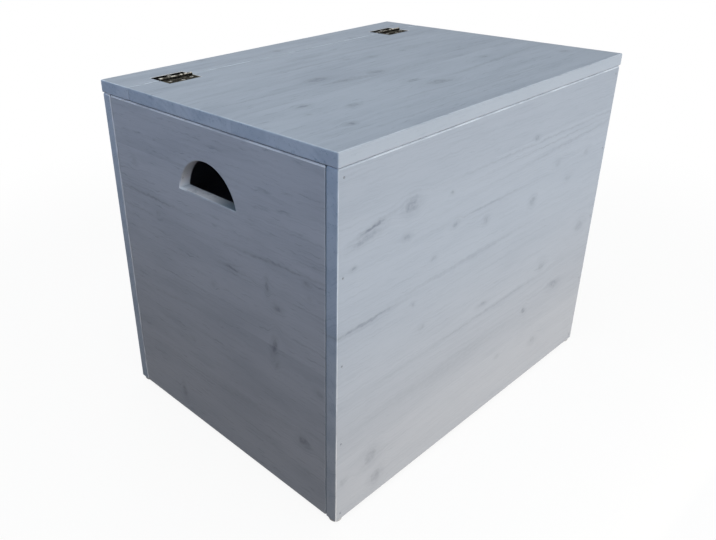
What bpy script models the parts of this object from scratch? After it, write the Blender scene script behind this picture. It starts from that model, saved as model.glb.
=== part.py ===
"""Storage chest of glued spruce boards.

The case is four nailed panels with a floor on cleats and a fixed rear rail. The lid hangs from
that rail on two butt hinges let in flush with the top. Each side has a hand hole, and a glide
stands under each corner.

Metres, +Z up, +X along the long side, the front faces -Y. The origin lies on the ground under
the middle of the chest. Left and right are as seen from the front.
"""

import math

import bmesh
import bpy
from mathutils import Matrix, Vector

# Case
BODY_LENGTH = 0.632
BODY_DEPTH = 0.467
PANEL_HEIGHT = 0.500
PANEL_THICKNESS = 0.018

# Lid and rear rail, which share one top surface
TOP_THICKNESS = 0.018
TOP_OVERHANG = 0.0008
TOP_GAP = 0.0006
RAIL_DEPTH = 0.072
SEAM_GAP = 0.0010

# Rounding of the boards' edges, and the clearance between two pieces that touch
ARRIS = 0.0018
ARRIS_SEGMENTS = 2
FIT = 0.0003

# Hand hole: a circle closed by a flat sill above its centre
HAND_RADIUS = 0.060
HAND_SILL_RISE = 0.010
HAND_TOP_MARGIN = 0.0495
HAND_ARC_STEPS = 28

# Floor and the cleats under it
FLOOR_THICKNESS = 0.018
CLEAT_WIDTH = 0.018
CLEAT_HEIGHT = 0.018
CLEAT_LIFT = 0.003

# Nails through the front and back panels into the side panels
NAILS_PER_CORNER = 5
NAIL_MARGIN = 0.011
NAIL_HEAD_RADIUS = 0.0015
NAIL_HEAD_DEPTH = 0.0010
NAIL_SHANK_RADIUS = 0.0010
NAIL_BITE = 0.027
NAIL_POINT = 0.0030
NAIL_SIDES = 10

# Dowels that locate the rail on the panels
DOWEL_RADIUS = 0.004
DOWEL_COVER = 0.007
DOWEL_IN_PANEL = 0.019
DOWEL_CHAMFER = 0.0008
DOWEL_BACK_SETBACK = 0.116
DOWEL_SIDES = 12

# Butt hinges, set back from the chest's ends
HINGE_SETBACK = 0.080
HINGE_LENGTH = 0.055
LEAF_REACH = 0.0245
LEAF_THICKNESS = 0.0011
LEAF_SINK = 0.0005
KNUCKLES = 5
KNUCKLE_RADIUS = 0.0024
KNUCKLE_WRAP = math.radians(285)
KNUCKLE_STEPS = 15
PIN_SIDES = 14

# Countersunk screws in the leaves: two near the knuckles and one further out between them
SCREW_HEAD_RADIUS = 0.0027
SCREW_SHANK_RADIUS = 0.0015
SCREW_POINT = 0.0030
SCREW_COVER = 0.0030
SCREW_TO_KNUCKLE = 0.0098
SCREW_TO_EDGE = 0.0065
SCREW_TO_END = 0.009
SCREW_SIDES = 12
RECESS_SPAN = 0.0032
RECESS_WIDTH = 0.0007
RECESS_DEPTH = 0.0008

# Glides
GLIDE_HEIGHT = 0.0045
GLIDE_RADIUS = 0.009
GLIDE_ROUND_WIDTH = 0.0025
GLIDE_ROUND_HEIGHT = 0.0022
GLIDE_MARGIN = 0.001
PEG_RADIUS = 0.0025
PEG_TO_NAIL = 0.0025
GLIDE_SIDES = 24

# How far a cutter reaches past the surface that it opens
OVERCUT = 0.001

# Levels and faces that several pieces share
CASE_Z = GLIDE_HEIGHT + FIT
CASE_TOP = CASE_Z + PANEL_HEIGHT
TOP_Z = CASE_TOP + TOP_GAP
TOP_SURFACE = TOP_Z + TOP_THICKNESS
HALF_LENGTH = BODY_LENGTH / 2
HALF_DEPTH = BODY_DEPTH / 2
INNER_LENGTH = HALF_LENGTH - PANEL_THICKNESS
INNER_DEPTH = HALF_DEPTH - PANEL_THICKNESS
SIDE_MIDDLE = HALF_LENGTH - PANEL_THICKNESS / 2
BACK_MIDDLE = HALF_DEPTH - PANEL_THICKNESS / 2
RAIL_FRONT = HALF_DEPTH + TOP_OVERHANG - RAIL_DEPTH
SEAM_Y = RAIL_FRONT - SEAM_GAP / 2
BORE_RADIUS = KNUCKLE_RADIUS - LEAF_THICKNESS
LEAF_TOP = TOP_SURFACE - LEAF_SINK
PIN_Z = LEAF_TOP + BORE_RADIUS
NAIL_LENGTH = PANEL_THICKNESS + NAIL_BITE
SCREW_LENGTH = TOP_THICKNESS - LEAF_SINK - SCREW_COVER
PEG_LENGTH = NAIL_MARGIN - NAIL_HEAD_RADIUS - PEG_TO_NAIL
GLIDE_INSET = GLIDE_RADIUS + GLIDE_MARGIN
SIDES = {"left": -1, "right": 1}
WALLS = {"front": -1, "back": 1}


def clear_scene():
    for old in list(bpy.data.objects):
        bpy.data.objects.remove(old, do_unlink=True)


def material(name, colour, roughness, metallic=0.0):
    made = bpy.data.materials.new(name)
    made.use_nodes = True
    shader = made.node_tree.nodes["Principled BSDF"]
    shader.inputs["Base Color"].default_value = (*colour, 1.0)
    shader.inputs["Roughness"].default_value = roughness
    shader.inputs["Metallic"].default_value = metallic
    made.diffuse_color = (*colour, 1.0)
    return made


def add_box(bm, low, high):
    low, high = Vector(low), Vector(high)
    size = high - low
    place = Matrix.Translation((low + high) / 2) @ Matrix.Diagonal((*size, 1.0))
    bmesh.ops.create_cube(bm, size=1.0, matrix=place)


def add_turned(bm, profile, sides, place):
    """Turn (radius, height) points round Z. The first and last point lie on the axis."""
    before = set(bm.verts)
    verts = [bm.verts.new((radius, 0.0, height)) for radius, height in profile]
    edges = [bm.edges.new(pair) for pair in zip(verts, verts[1:])]
    bmesh.ops.spin(
        bm,
        geom=verts + edges,
        axis=(0, 0, 1),
        cent=(0, 0, 0),
        angle=math.tau,
        steps=sides,
        use_merge=True,
    )
    turned = [v for v in bm.verts if v not in before]
    bmesh.ops.remove_doubles(bm, verts=turned, dist=1e-6)
    turned = [v for v in bm.verts if v not in before]
    bmesh.ops.transform(bm, matrix=place, verts=turned)


def add_extruded(bm, loops, push):
    """Fill flat loops, the first one outside and any others as holes in it, and extrude them."""
    edges = []
    for loop in loops:
        verts = [bm.verts.new(point) for point in loop]
        edges += [bm.edges.new(pair) for pair in zip(verts, verts[1:] + verts[:1])]
    filled = bmesh.ops.triangle_fill(bm, edges=edges, use_beauty=True, use_dissolve=False)
    faces = [item for item in filled["geom"] if isinstance(item, bmesh.types.BMFace)]
    pulled = bmesh.ops.extrude_face_region(bm, geom=faces)
    moved = [item for item in pulled["geom"] if isinstance(item, bmesh.types.BMVert)]
    bmesh.ops.translate(bm, vec=push, verts=moved)


def finish_mesh(bm, name, smooth=False):
    bmesh.ops.recalc_face_normals(bm, faces=bm.faces)
    mesh = bpy.data.meshes.new(name)
    bm.to_mesh(mesh)
    bm.free()
    if smooth:
        mesh.shade_smooth()
        mesh.set_sharp_from_angle(angle=math.radians(35))
    return mesh


def place_object(name, mesh, location=(0, 0, 0), parent=None):
    """Put a mesh in the scene; under a parent, its location is still given in the world."""
    made = bpy.data.objects.new(name, mesh)
    bpy.context.scene.collection.objects.link(made)
    made.location = Vector(location)
    if parent is not None:
        made.parent = parent
        made.location -= parent.location
    return made


def cutter(name, bm):
    made = place_object(name, finish_mesh(bm, name))
    made.hide_render = True
    made.display_type = "WIRE"
    return made


def cut(target, tool):
    modifier = target.modifiers.new(tool.name, "BOOLEAN")
    modifier.operation = "DIFFERENCE"
    modifier.solver = "EXACT"
    modifier.object = tool


def round_edges(target, width=ARRIS):
    modifier = target.modifiers.new("arris", "BEVEL")
    modifier.width = width
    modifier.segments = ARRIS_SEGMENTS
    modifier.limit_method = "ANGLE"
    modifier.angle_limit = math.radians(40)


def board(name, low, high, finish, parent=None):
    """A rectangular board with rounded arrises between two opposite corners."""
    low, high = Vector(low), Vector(high)
    middle = (low + high) / 2
    bm = bmesh.new()
    add_box(bm, low - middle, high - middle)
    mesh = finish_mesh(bm, name)
    mesh.materials.append(finish)
    made = place_object(name, mesh, middle, parent)
    round_edges(made)
    return made


def hand_hole_outline(x):
    """The hand hole's outline in the plane at x: an arc over a flat sill."""
    centre_z = CASE_TOP - HAND_TOP_MARGIN - HAND_RADIUS
    start = math.asin(HAND_SILL_RISE / HAND_RADIUS)
    sweep = math.pi - 2 * start
    angles = [start + sweep * step / HAND_ARC_STEPS for step in range(HAND_ARC_STEPS + 1)]
    return [
        (x, HAND_RADIUS * math.cos(a), centre_z + HAND_RADIUS * math.sin(a)) for a in angles
    ]


def side_panel(name, side, finish):
    """A side panel between the front and back panels, with its hand hole."""
    half = INNER_DEPTH - FIT
    x = side * HALF_LENGTH
    rectangle = [(x, -half, CASE_Z), (x, half, CASE_Z), (x, half, CASE_TOP), (x, -half, CASE_TOP)]
    bm = bmesh.new()
    add_extruded(bm, [rectangle, hand_hole_outline(x)], (-side * PANEL_THICKNESS, 0, 0))
    mesh = finish_mesh(bm, name)
    mesh.materials.append(finish)
    made = place_object(name, mesh)
    round_edges(made)
    return made


def wall_panel(name, wall, finish):
    """The front or back panel, which covers the side panels' edges."""
    outer, inner = wall * HALF_DEPTH, wall * INNER_DEPTH
    low = (-HALF_LENGTH, min(outer, inner), CASE_Z)
    high = (HALF_LENGTH, max(outer, inner), CASE_TOP)
    return board(name, low, high, finish)


def make_floor(finish):
    half_x, half_y = INNER_LENGTH - FIT, INNER_DEPTH - FIT
    cleat_z = CASE_Z + CLEAT_LIFT
    cleat_top = cleat_z + CLEAT_HEIGHT
    floor_z = cleat_top + FIT
    board(
        "bottom_panel",
        (-half_x, -half_y, floor_z),
        (half_x, half_y, floor_z + FLOOR_THICKNESS),
        finish,
    )
    for name, wall in WALLS.items():
        near, far = wall * (half_y - CLEAT_WIDTH), wall * half_y
        board(
            f"cleat_{name}",
            (-half_x, min(near, far), cleat_z),
            (half_x, max(near, far), cleat_top),
            finish,
        )
    cleat_end = half_y - CLEAT_WIDTH - FIT
    for name, side in SIDES.items():
        near, far = side * (half_x - CLEAT_WIDTH), side * half_x
        board(
            f"cleat_{name}",
            (min(near, far), -cleat_end, cleat_z),
            (max(near, far), cleat_end, cleat_top),
            finish,
        )


def nail_profile(grow):
    """A nail from its head down, or with grow the hole that it sits in."""
    head, shank = NAIL_HEAD_RADIUS + grow, NAIL_SHANK_RADIUS + grow
    top = OVERCUT if grow else 0.0
    shoulder = -NAIL_HEAD_DEPTH - grow
    tip = -NAIL_LENGTH - grow
    return [
        (0, top),
        (head, top),
        (head, shoulder),
        (shank, shoulder),
        (shank, tip + NAIL_POINT),
        (0, tip),
    ]


def nail_heights():
    first = CASE_Z + NAIL_MARGIN
    pitch = (PANEL_HEIGHT - 2 * NAIL_MARGIN) / (NAILS_PER_CORNER - 1)
    return [first + pitch * step for step in range(NAILS_PER_CORNER)]


def make_nails(wall_name, wall, side_name, side, boards, finish):
    """One corner's row of nails, driven from the face of the front or back panel."""
    turn = Matrix.Rotation(-wall * math.pi / 2, 4, "X")
    bm = bmesh.new()
    add_turned(bm, nail_profile(0.0), NAIL_SIDES, turn)
    mesh = finish_mesh(bm, f"nail_{wall_name}_{side_name}", smooth=True)
    mesh.materials.append(finish)
    holes = bmesh.new()
    for number, height in enumerate(nail_heights(), 1):
        spot = Vector((side * SIDE_MIDDLE, wall * HALF_DEPTH, height))
        place_object(f"nail_{wall_name}_{side_name}_{number}", mesh, spot)
        add_turned(holes, nail_profile(FIT), NAIL_SIDES, Matrix.Translation(spot) @ turn)
    tool = cutter(f"nail_holes_{wall_name}_{side_name}", holes)
    for target in boards:
        cut(target, tool)


def glide_profile():
    """A moulded glide: a domed foot whose peg goes up into the panel."""
    top = GLIDE_HEIGHT
    rounding = [
        (
            GLIDE_RADIUS - GLIDE_ROUND_WIDTH * (1 - math.sin(turn)),
            GLIDE_ROUND_HEIGHT * (1 - math.cos(turn)),
        )
        for turn in (0, math.pi / 4, math.pi / 2)
    ]
    return [
        (0, 0),
        *rounding,
        (GLIDE_RADIUS, top),
        (PEG_RADIUS, top),
        (PEG_RADIUS, top + PEG_LENGTH),
        (0, top + PEG_LENGTH),
    ]


def peg_hole_profile():
    radius = PEG_RADIUS + FIT
    return [(0, -OVERCUT), (radius, -OVERCUT), (radius, PEG_LENGTH + FIT), (0, PEG_LENGTH + FIT)]


def make_glides(walls, finish):
    bm = bmesh.new()
    add_turned(bm, glide_profile(), GLIDE_SIDES, Matrix.Identity(4))
    mesh = finish_mesh(bm, "glide", smooth=True)
    mesh.materials.append(finish)
    for wall_name, wall in WALLS.items():
        holes = bmesh.new()
        for side_name, side in SIDES.items():
            x = side * (HALF_LENGTH - GLIDE_INSET)
            y = wall * (HALF_DEPTH - GLIDE_INSET)
            place_object(f"glide_{wall_name}_{side_name}", mesh, (x, y, 0))
            place = Matrix.Translation((x, y, CASE_Z))
            add_turned(holes, peg_hole_profile(), GLIDE_SIDES, place)
        cut(walls[wall_name], cutter(f"peg_holes_{wall_name}", holes))


def dowel_reach():
    """How far a dowel goes down into its panel and up into the rail, from the panel's top edge."""
    return -DOWEL_IN_PANEL, TOP_GAP + TOP_THICKNESS - DOWEL_COVER


def dowel_profile():
    """A dowel with chamfered ends."""
    low, high = dowel_reach()
    neck = DOWEL_RADIUS - DOWEL_CHAMFER
    return [
        (0, low),
        (neck, low),
        (DOWEL_RADIUS, low + DOWEL_CHAMFER),
        (DOWEL_RADIUS, high - DOWEL_CHAMFER),
        (neck, high),
        (0, high),
    ]


def dowel_hole_profile():
    low, high = dowel_reach()
    radius = DOWEL_RADIUS + FIT
    return [(0, low - FIT), (radius, low - FIT), (radius, high + FIT), (0, high + FIT)]


def make_dowels(rail, panels, finish):
    bm = bmesh.new()
    add_turned(bm, dowel_profile(), DOWEL_SIDES, Matrix.Identity(4))
    mesh = finish_mesh(bm, "dowel", smooth=True)
    mesh.materials.append(finish)
    nail_points = HALF_DEPTH - NAIL_LENGTH
    side_y = (RAIL_FRONT + nail_points) / 2
    back_x = HALF_LENGTH - DOWEL_BACK_SETBACK
    for side_name, side in SIDES.items():
        spots = {
            f"dowel_{side_name}": ((side * SIDE_MIDDLE, side_y, CASE_TOP), panels[side_name]),
            f"dowel_back_{side_name}": ((side * back_x, BACK_MIDDLE, CASE_TOP), panels["back"]),
        }
        for name, (spot, panel) in spots.items():
            place_object(name, mesh, spot)
            hole = bmesh.new()
            add_turned(hole, dowel_hole_profile(), DOWEL_SIDES, Matrix.Translation(spot))
            tool = cutter(f"{name}_hole", hole)
            cut(rail, tool)
            cut(panel, tool)


def leaf_outline(x, towards):
    """A leaf's section in the plane at x, round the pin's axis: a plate that ends in a roll."""
    angles = [-math.pi / 2 - KNUCKLE_WRAP * step / KNUCKLE_STEPS for step in range(KNUCKLE_STEPS + 1)]
    outer = [(KNUCKLE_RADIUS * math.cos(a), KNUCKLE_RADIUS * math.sin(a)) for a in angles]
    inner = [(BORE_RADIUS * math.cos(a), BORE_RADIUS * math.sin(a)) for a in reversed(angles)]
    plate_edge = [(LEAF_REACH, -BORE_RADIUS), (LEAF_REACH, -KNUCKLE_RADIUS)]
    return [(x, towards * y, z) for y, z in outer + inner + plate_edge]


def knuckle_slots(own):
    """Boxes that clear the other leaf's knuckles; own is 0 or 1, the leaf's first knuckle."""
    pitch = HINGE_LENGTH / KNUCKLES
    reach = KNUCKLE_RADIUS + FIT
    bm = bmesh.new()
    for knuckle in range(1 - own, KNUCKLES, 2):
        low = -HINGE_LENGTH / 2 + pitch * knuckle - FIT / 2
        high = low + pitch + FIT
        if knuckle == 0:
            low -= OVERCUT
        if knuckle == KNUCKLES - 1:
            high += OVERCUT
        add_box(bm, (low, -reach, -reach - OVERCUT), (high, reach, reach + OVERCUT))
    return bm


def screw_spots(towards):
    """A leaf's screw places along X and Y, counted from the hinge's middle."""
    near = towards * (KNUCKLE_RADIUS + SCREW_TO_KNUCKLE)
    far = towards * (LEAF_REACH - SCREW_TO_EDGE)
    end = HINGE_LENGTH / 2 - SCREW_TO_END
    return [(-end, near), (0.0, far), (end, near)]


def screw_profile():
    """A countersunk screw from the flat of its head down to its point."""
    cone = SCREW_HEAD_RADIUS - SCREW_SHANK_RADIUS
    return [
        (0, 0),
        (SCREW_HEAD_RADIUS, 0),
        (SCREW_SHANK_RADIUS, -cone),
        (SCREW_SHANK_RADIUS, SCREW_POINT - SCREW_LENGTH),
        (0, -SCREW_LENGTH),
    ]


def countersink_profile():
    """The hole in a leaf, which opens to the screw head's cone."""
    head, shank = SCREW_HEAD_RADIUS + FIT, SCREW_SHANK_RADIUS + FIT
    cone = SCREW_HEAD_RADIUS - SCREW_SHANK_RADIUS
    below = -LEAF_THICKNESS - OVERCUT
    return [(0, OVERCUT), (head, OVERCUT), (head, 0), (shank, -cone), (shank, below), (0, below)]


def pilot_profile():
    """The screw's hole in the wood, from inside the hinge's recess down."""
    radius = SCREW_SHANK_RADIUS + FIT
    tip = -SCREW_LENGTH - FIT
    start = -LEAF_THICKNESS
    return [(0, start), (radius, start), (radius, tip), (0, tip)]


def screw_mesh(finish):
    """One screw with its cross recess, as a mesh that all twelve share."""
    bm = bmesh.new()
    add_turned(bm, screw_profile(), SCREW_SIDES, Matrix.Identity(4))
    blank = place_object("screw_blank", finish_mesh(bm, "screw_blank"))
    for name, span_x, span_y in (
        ("recess_along", RECESS_SPAN, RECESS_WIDTH),
        ("recess_across", RECESS_WIDTH, RECESS_SPAN),
    ):
        bar = bmesh.new()
        add_box(bar, (-span_x / 2, -span_y / 2, -RECESS_DEPTH), (span_x / 2, span_y / 2, OVERCUT))
        cut(blank, cutter(name, bar))
    depsgraph = bpy.context.evaluated_depsgraph_get()
    mesh = bpy.data.meshes.new_from_object(blank.evaluated_get(depsgraph))
    mesh.name = "hinge_screw"
    mesh.materials.clear()
    mesh.materials.append(finish)
    for name in ("screw_blank", "recess_along", "recess_across"):
        bpy.data.objects.remove(bpy.data.objects[name], do_unlink=True)
    return mesh


def make_recess(name, x, rail, lid):
    """The flat recess across the seam that a hinge is let into."""
    half = HINGE_LENGTH / 2 + FIT
    reach = LEAF_REACH + FIT
    floor = LEAF_TOP - LEAF_THICKNESS - FIT
    bm = bmesh.new()
    add_box(bm, (x - half, SEAM_Y - reach, floor), (x + half, SEAM_Y + reach, TOP_SURFACE + OVERCUT))
    tool = cutter(f"hinge_recess_{name}", bm)
    cut(rail, tool)
    cut(lid, tool)


def make_leaf(name, x, towards, own, carrier, parent, finish):
    """One leaf with its screw holes, and the pilot holes under it in the carrier's wood."""
    middle = Vector((x, SEAM_Y, PIN_Z))
    half = HINGE_LENGTH / 2
    bm = bmesh.new()
    add_extruded(bm, [leaf_outline(-half, towards)], (HINGE_LENGTH, 0, 0))
    mesh = finish_mesh(bm, name, smooth=True)
    mesh.materials.append(finish)
    leaf = place_object(name, mesh, middle, parent)
    slots = cutter(f"{name}_slots", knuckle_slots(own))
    slots.location = middle
    cut(leaf, slots)
    sinks, pilots = bmesh.new(), bmesh.new()
    for along, across in screw_spots(towards):
        place = Matrix.Translation((x + along, SEAM_Y + across, LEAF_TOP))
        add_turned(sinks, countersink_profile(), SCREW_SIDES, place)
        add_turned(pilots, pilot_profile(), SCREW_SIDES, place)
    cut(leaf, cutter(f"{name}_countersinks", sinks))
    cut(carrier, cutter(f"{name}_pilots", pilots))


def pin_profile():
    half = HINGE_LENGTH / 2
    radius = BORE_RADIUS - FIT
    return [(0, -half), (radius, -half), (radius, half), (0, half)]


def make_hinge(name, x, rail, lid, lid_axis, finishes):
    make_recess(name, x, rail, lid)
    make_leaf(f"rail_leaf_{name}", x, 1, 0, rail, None, finishes["leaf"])
    make_leaf(f"lid_leaf_{name}", x, -1, 1, lid, lid_axis, finishes["leaf"])
    bm = bmesh.new()
    add_turned(bm, pin_profile(), PIN_SIDES, Matrix.Rotation(math.pi / 2, 4, "Y"))
    mesh = finish_mesh(bm, f"hinge_pin_{name}", smooth=True)
    mesh.materials.append(finishes["pin"])
    place_object(f"hinge_pin_{name}", mesh, (x, SEAM_Y, PIN_Z))
    for board_name, towards, parent in (("rail", 1, None), ("lid", -1, lid_axis)):
        for number, (along, across) in enumerate(screw_spots(towards), 1):
            spot = (x + along, SEAM_Y + across, LEAF_TOP)
            place_object(f"{board_name}_screw_{name}_{number}", finishes["screw_mesh"], spot, parent)


def main():
    clear_scene()
    spruce = material("washed_spruce", (0.42, 0.48, 0.54), 0.62)
    beech = material("beech", (0.62, 0.45, 0.28), 0.6)
    nail_steel = material("nail_steel", (0.30, 0.31, 0.33), 0.5, 0.8)
    leaf_steel = material("dark_hinge_steel", (0.10, 0.10, 0.10), 0.3, 1.0)
    screw_steel = material("bright_screw_steel", (0.62, 0.60, 0.55), 0.3, 1.0)
    plastic = material("glide_plastic", (0.60, 0.60, 0.58), 0.5)

    panels = {name: wall_panel(f"{name}_panel", wall, spruce) for name, wall in WALLS.items()}
    for name, side in SIDES.items():
        panels[name] = side_panel(f"{name}_side_panel", side, spruce)
    make_floor(spruce)
    for wall_name, wall in WALLS.items():
        for side_name, side in SIDES.items():
            boards = (panels[wall_name], panels[side_name])
            make_nails(wall_name, wall, side_name, side, boards, nail_steel)
    make_glides(panels, plastic)

    lid_axis = bpy.data.objects.new("lid_axis", None)
    bpy.context.scene.collection.objects.link(lid_axis)
    lid_axis.location = (0, SEAM_Y, PIN_Z)
    half_top = HALF_LENGTH + TOP_OVERHANG
    edge = HALF_DEPTH + TOP_OVERHANG
    rail = board("rear_rail", (-half_top, RAIL_FRONT, TOP_Z), (half_top, edge, TOP_SURFACE), spruce)
    lid_low = (-half_top, -edge, TOP_Z)
    lid_high = (half_top, RAIL_FRONT - SEAM_GAP, TOP_SURFACE)
    lid = board("lid", lid_low, lid_high, spruce, lid_axis)
    make_dowels(rail, panels, beech)
    finishes = {"leaf": leaf_steel, "pin": screw_steel, "screw_mesh": screw_mesh(screw_steel)}
    for name, side in SIDES.items():
        make_hinge(name, side * (HALF_LENGTH - HINGE_SETBACK), rail, lid, lid_axis, finishes)


main()
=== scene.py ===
"""Looks of the storage chest: washed spruce boards, dark butt hinges and a plain pale studio.

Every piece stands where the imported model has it, in metres, with its place in its mesh. Lists of
knots and streaks are in millimetres along and across the grain, as read off the boards.
"""

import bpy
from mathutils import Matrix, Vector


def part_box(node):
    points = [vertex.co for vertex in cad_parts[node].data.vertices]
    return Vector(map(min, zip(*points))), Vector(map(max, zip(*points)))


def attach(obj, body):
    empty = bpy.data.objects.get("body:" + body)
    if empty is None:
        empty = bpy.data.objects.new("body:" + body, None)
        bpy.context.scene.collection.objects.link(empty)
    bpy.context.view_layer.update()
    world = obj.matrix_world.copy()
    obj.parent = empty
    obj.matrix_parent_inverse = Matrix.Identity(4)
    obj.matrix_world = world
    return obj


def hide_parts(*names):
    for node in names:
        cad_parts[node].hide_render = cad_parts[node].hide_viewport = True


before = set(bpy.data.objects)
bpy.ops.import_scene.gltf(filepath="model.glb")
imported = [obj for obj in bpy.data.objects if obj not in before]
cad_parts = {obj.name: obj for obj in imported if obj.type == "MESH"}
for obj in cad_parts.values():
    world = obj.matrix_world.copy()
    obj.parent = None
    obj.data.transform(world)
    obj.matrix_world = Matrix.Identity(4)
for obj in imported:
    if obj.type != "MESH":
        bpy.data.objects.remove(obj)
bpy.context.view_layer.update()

import math
from functools import partialmethod

import bmesh
import bpy
from mathutils import Matrix, Vector

MM = 0.001

# Boards
ARRIS = 0.0018
WORN_ARRIS = 0.0036
ARRIS_STEPS = 4
FIT = 0.0003
OVERCUT = 0.001
HAND_RADIUS = 0.060
HAND_SILL_RISE = 0.010
HAND_TOP_MARGIN = 0.0495
HAND_ARC_STEPS = 72

# Where a painted highlight lights the sill's rear corner, from the middle of the hand hole, and the
# ragged outline of the knots
SILL_CORNER = (-0.057, 0.006, 0.0)
RAGGED_SCALE = 75.0
RAGGED_REACH = 0.0075
# How far a knot and a streak bend the grain round them
BENDS = {"knots": 0.8, "streaks": 0.03}
# Staves are told apart this far from a board's middle, each by a step in tone from the last
STAVE_REACH = 0.6
STAVE_STEP = 0.618

# Sizes of the turned parts, as their trees name them
NAIL = {"Head radius": 0.0015, "Head depth": 0.0010, "Shank radius": 0.0010, "Point": 0.0030}
SCREW = {"Head radius": 0.0027, "Shank radius": 0.0015, "Point": 0.0030, "Ease": 0.00025}
RECESS = {"Recess span": 0.0032, "Recess width": 0.0007, "Recess depth": 0.0008}
GLIDE = {"Radius": 0.009, "Height": 0.0045, "Round width": 0.0025, "Round height": 0.0022}
PEG = {"Peg radius": 0.0025}
DOWEL = {"Radius": 0.004, "Chamfer": 0.0008}
NAIL_GAP = 0.00008
NAIL_LEANS = {"front": math.pi / 2, "back": -math.pi / 2}
GLIDE_EASE = 0.0003
GLIDE_DROP = 0.00002
PEG_EASE = 0.0004

# Hinges
KNUCKLES = 5
KNUCKLE_RADIUS = 0.0024
KNUCKLE_WRAP = math.radians(285)
KNUCKLE_STEPS = 30
LEAF_THICKNESS = 0.0011
LEAF_EASE = 0.00018
MORTISE_CHAMFER = 0.0005

# Faces round a turned part or hole, and the least turn that counts as a corner
HOLE_SIDES = 16
HEAD_HOLE_SIDES = 24
SCREW_SIDES = 24
NAIL_SIDES = 20
DOWEL_SIDES = 20
GLIDE_SIDES = 40
CORNER = math.radians(40)

WALLS = ("front", "back")
SIDES = ("left", "right")
X, Y, Z = (1, 0, 0), (0, 1, 0), (0, 0, 1)
BACK_TO_FRONT = (0, -1, 0)

# Colours of the finish, in linear light
WASH = (0.430, 0.490, 0.585)
THIN_WASH = (0.198, 0.240, 0.318)
EDGE_WASH = (0.445, 0.535, 0.655)
KNOT = (0.105, 0.126, 0.178)
# Worn bare arrises, which also carry a painted highlight
ARRIS_WEAR_AND_HIGHLIGHT = (0.820, 0.900, 1.000)
END_GRAIN = (0.415, 0.515, 0.655)
END_LINES = (0.190, 0.285, 0.430)
THICK_WASH = (0.740, 0.770, 0.850)
# Painted shade in the joints' grooves and the hand hole, with the dirt smudges there
PAINTED_SHADE_AND_DIRT = (0.110, 0.170, 0.230)
# A painted tint of light: warm floor bounce at the foot, cool skylight higher up
PAINTED_WARM_BOUNCE = (1.10, 1.04, 0.985)
PAINTED_COOL_SKYLIGHT = (0.965, 0.985, 1.00)
WHITE = (1.0, 1.0, 1.0)

# Fine relief of the surfaces, as strength and depth
WOOD_RELIEF = (0.45, 0.0003)
METAL_RELIEF = (0.2, 0.00005)
DULL_RELIEF = (0.25, 0.0001)

# The photograph's camera, found from the chest's edges
LENS = 36.45
LENS_SHIFT = (0.0960, -0.0154)
CAMERA_PLACE = (-0.8271, -0.7141, 0.7642)
CAMERA_RIGHT = (0.7292, -0.6839, -0.0234)
CAMERA_UP = (0.3286, 0.3200, 0.8886)

# The studio. A lamp is its name, place, target, width, height, watts, tint and spread in degrees.
SKY = (0.92, 0.94, 1.0)
SKY_STRENGTH = 0.215
GROUND_RADIUS = 3.0
GROUND_SIDES = 96
GROUND_FADE = (0.75, 1.5)
GROUND_BOUNCE = (0.263, 0.173, 0.133)
GROUND_PAINT = (0.12, 0.12, 0.12)
GROUND_GLOW = 0.905
LAMPS = (
    ("key", (-1.1, -4.2, 1.5), (0, 0, 0.25), 3.0, 2.0, 20.0, (1.0, 0.98, 0.92), 180),
    ("low front", (0.3, -2.4, 0.25), (0, 0, 0.1), 2.4, 0.4, 39.0, (1.0, 0.97, 0.90), 180),
    ("overhead", (-0.4, 0.0, 2.6), (-0.2, 0, 0), 2.4, 2.4, 26.6, (0.95, 1.0, 0.98), 180),
    ("side", (-0.95, 0.0, 0.65), (-0.316, 0, 0.58), 1.4, 0.2, 0.45, (0.56, 0.71, 1.0), 82),
    ("back fill", (1.5, 3.0, 3.0), (0, 0, 0.25), 2.0, 2.0, 10.0, WHITE, 180),
    ("floor bounce", (0.0, -0.55, 0.05), (0, -0.2, 0.05), 0.9, 0.06, 0.125, (1.0, 0.86, 0.58), 180),
)


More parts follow.
